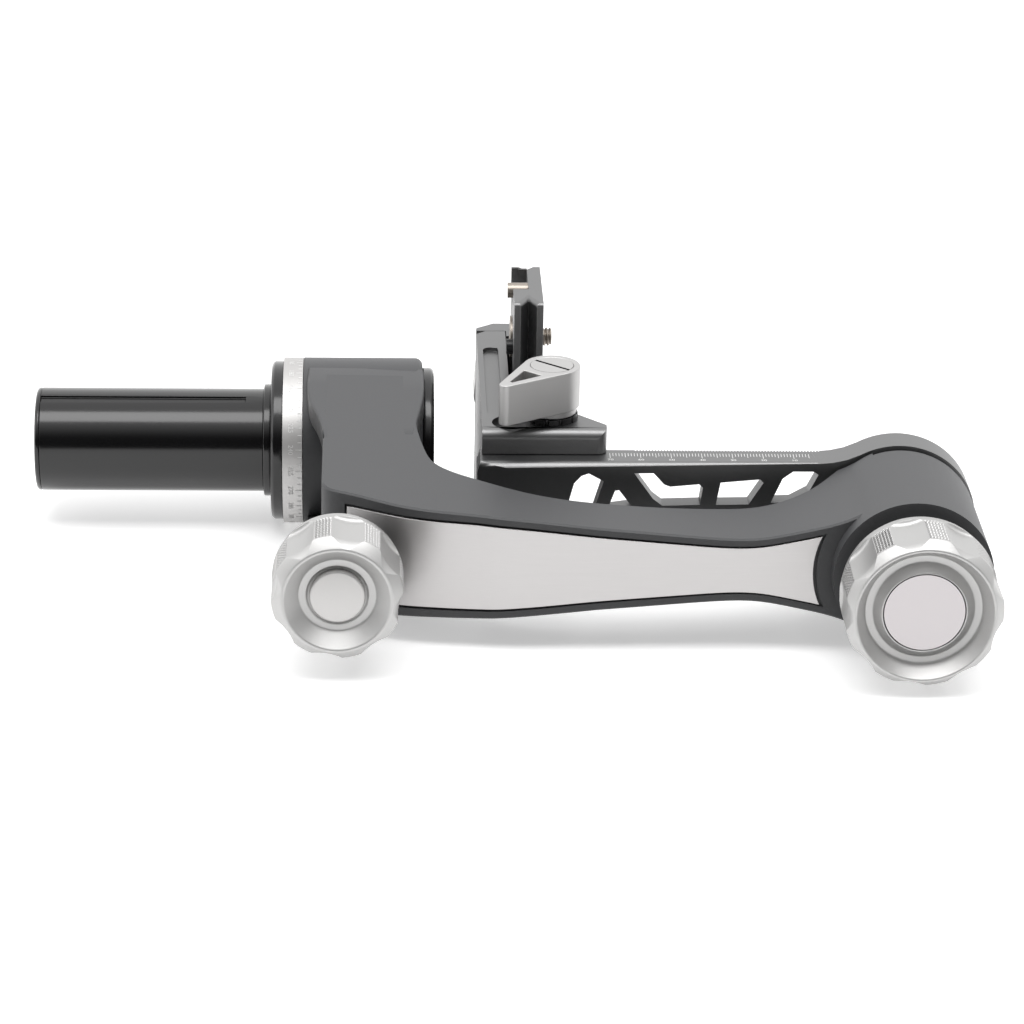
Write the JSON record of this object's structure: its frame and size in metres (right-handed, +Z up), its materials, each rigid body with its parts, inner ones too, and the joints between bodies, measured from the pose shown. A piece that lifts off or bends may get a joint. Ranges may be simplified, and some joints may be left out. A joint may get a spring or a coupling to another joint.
{
  "type": "gimbal tripod head",
  "caption": "Side-mount gimbal head with a column, a J-shaped arm, two lock knobs and a clamped, height-adjustable plate platform.",
  "frame": {"origin": "middle of the bounding box at the height of the table that the head lies on", "axes": "+X along the pan axis from the column to the tilt drum, +Y along the tilt axis away from the lock knobs, +Z up"},
  "size_m": [0.3112, 0.2032, 0.0816],
  "materials": {
    "gloss_black": "gloss anodised",
    "satin_silver": "satin anodised",
    "bearing_steel": "ground",
    "zinc_steel": "zinc plated",
    "black_steel": "black oxide",
    "pad_brass": "turned",
    "spacer_alloy": "turned",
    "inlay_satin": "fine brushed, clear anodised",
    "cast_grey": "matt bead-blasted anodised",
    "anodised_dark": "satin anodised"
  },
  "bodies": {
    "base": {"column_tube": "gloss_black", "column_end_cap": "gloss_black", "base_collar": "gloss_black", "base_flange": "gloss_black", "degree_ring": "satin_silver", "pan_spindle": "bearing_steel", "pan_brake_sleeve": "pad_brass", "pan_spindle_nut": "bearing_steel", "pan_inner_races": "bearing_steel"},
    "arm": {"arm": "cast_grey", "arm_inlay_plate": "inlay_satin", "pan_end_cap": "gloss_black", "pan_circlip": "bearing_steel", "tilt_circlip": "bearing_steel", "tilt_outer_spacer": "spacer_alloy", "pan_outer_races": "bearing_steel", "tilt_outer_races": "bearing_steel", "pan_bearing_balls": "bearing_steel", "tilt_bearing_balls": "bearing_steel"},
    "pan_knob": {"pan_lock_knob": "satin_silver", "pan_knob_button": "satin_silver", "pan_lock_stud": "zinc_steel"},
    "pan_pad": {"pan_brake_pad": "pad_brass"},
    "tilt_knob": {"tilt_lock_knob": "satin_silver", "tilt_knob_disc": "satin_silver", "tilt_lock_stud": "zinc_steel"},
    "tilt_pad": {"tilt_brake_pad": "pad_brass"},
    "swing": {"swing_arm": "anodised_dark", "tilt_shaft": "bearing_steel", "hub_screws": "black_steel", "tilt_inner_races": "bearing_steel", "tilt_inner_spacer": "spacer_alloy", "tilt_shaft_nut": "bearing_steel", "rail_stop_screws": "black_steel"},
    "platform": {"platform": "anodised_dark"},
    "height_jaw": {"height_jaw": "anodised_dark"},
    "height_lever": {"height_lever": "satin_silver", "height_lever_cap": "satin_silver", "height_lever_ring": "black_steel", "height_screw": "zinc_steel"},
    "qr_jaw": {"qr_jaw": "anodised_dark", "qr_guide_pins": "zinc_steel"},
    "qr_lever": {"qr_lever": "satin_silver", "qr_lever_cap": "satin_silver", "qr_lever_ring": "black_steel", "qr_screw": "zinc_steel"},
    "plate": {"lens_plate": "anodised_dark", "plate_end_pin": "zinc_steel", "plate_stop_screw": "black_steel", "camera_screw": "zinc_steel"}
  },
  "joints": [
    {"name": "pan", "type": "hinge", "parent": "arm", "child": "base", "pos_m": [-0.11045, 0.0459, 0.0282], "axis": [1, 0, 0], "continuous": true},
    {"name": "tilt", "type": "hinge", "parent": "arm", "child": "swing", "pos_m": [0.12955, -0.0441, 0.0282], "axis": [0, 1, 0], "continuous": true},
    {"name": "pan_lock", "type": "hinge", "parent": "arm", "child": "pan_knob", "pos_m": [-0.05205, -0.0791, 0.0282], "axis": [0, -1, 0], "range_deg": [0, 360]},
    {"name": "pan_pad_travel", "type": "slide", "parent": "arm", "child": "pan_pad", "axis": [0, -1, 0], "range_m": [0, 0.0013]},
    {"name": "tilt_lock", "type": "hinge", "parent": "arm", "child": "tilt_knob", "pos_m": [0.12955, -0.0841, 0.0282], "axis": [0, -1, 0], "range_deg": [0, 360]},
    {"name": "tilt_pad_travel", "type": "slide", "parent": "arm", "child": "tilt_pad", "axis": [0, -1, 0], "range_m": [0, 0.0013]},
    {"name": "height", "type": "slide", "parent": "swing", "child": "platform", "axis": [1, 0, 0], "range_m": [0, 0.06]},
    {"name": "height_lever_turn", "type": "hinge", "parent": "platform", "child": "height_lever", "pos_m": [0.01685, -0.0044, 0.0562], "axis": [0, 0, 1], "range_deg": [0, 170]},
    {"name": "height_jaw_travel", "type": "slide", "parent": "platform", "child": "height_jaw", "axis": [0, 0, -1], "range_m": [0, 0.000377]},
    {"name": "qr_jaw_travel", "type": "slide", "parent": "platform", "child": "qr_jaw", "axis": [0, 1, 0], "range_m": [0, 0.00159]},
    {"name": "qr_lever_turn", "type": "hinge", "parent": "qr_jaw", "child": "qr_lever", "pos_m": [0.00125, 0.0939, 0.0282], "axis": [0, 1, 0], "range_deg": [0, 720]},
    {"name": "plate_slide", "type": "slide", "parent": "platform", "child": "plate", "axis": [0, 0, 1], "range_m": [-0.0035, 0.045]}
  ],
  "couplings": [
    {"joint": "pan_pad_travel", "follows": "pan_lock", "m_per_rad": 0.00019894},
    {"joint": "tilt_pad_travel", "follows": "tilt_lock", "m_per_rad": 0.00019894},
    {"joint": "height_lever_turn", "follows": "height_jaw_travel", "rad_per_m": 7854},
    {"joint": "qr_lever_turn", "follows": "qr_jaw_travel", "rad_per_m": 7854}
  ]
}
